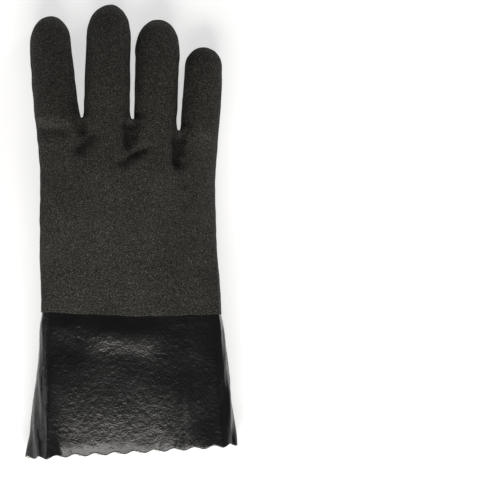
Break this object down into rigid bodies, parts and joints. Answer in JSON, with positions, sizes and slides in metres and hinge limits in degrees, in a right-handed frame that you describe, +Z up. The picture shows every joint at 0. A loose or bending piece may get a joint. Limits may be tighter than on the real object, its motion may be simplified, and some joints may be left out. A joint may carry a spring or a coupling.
{
  "type": "pvc coated work glove",
  "caption": "Right-hand gauntlet work glove lying palm down: a rough coated hand with fingers, its thumb folded under the palm, and a smooth flared cuff with a scalloped hem",
  "frame": {"origin": "on the floor under the middle of the glove's bounding box", "axes": "+X across the knuckles from the index finger to the little finger, +Y from the cuff's hem to the fingertips, +Z up out of the back of the hand"},
  "size_m": [0.145, 0.3066, 0.0518],
  "materials": {
    "rough_coat": "dark charcoal pvc with a matt sandy grain",
    "smooth_coat": "near black pvc, semi gloss, with a fine wrinkled grain"
  },
  "bodies": {
    "root": {"hand_shell": "rough_coat", "gauntlet_cuff": "smooth_coat"}
  },
  "joints": []
}
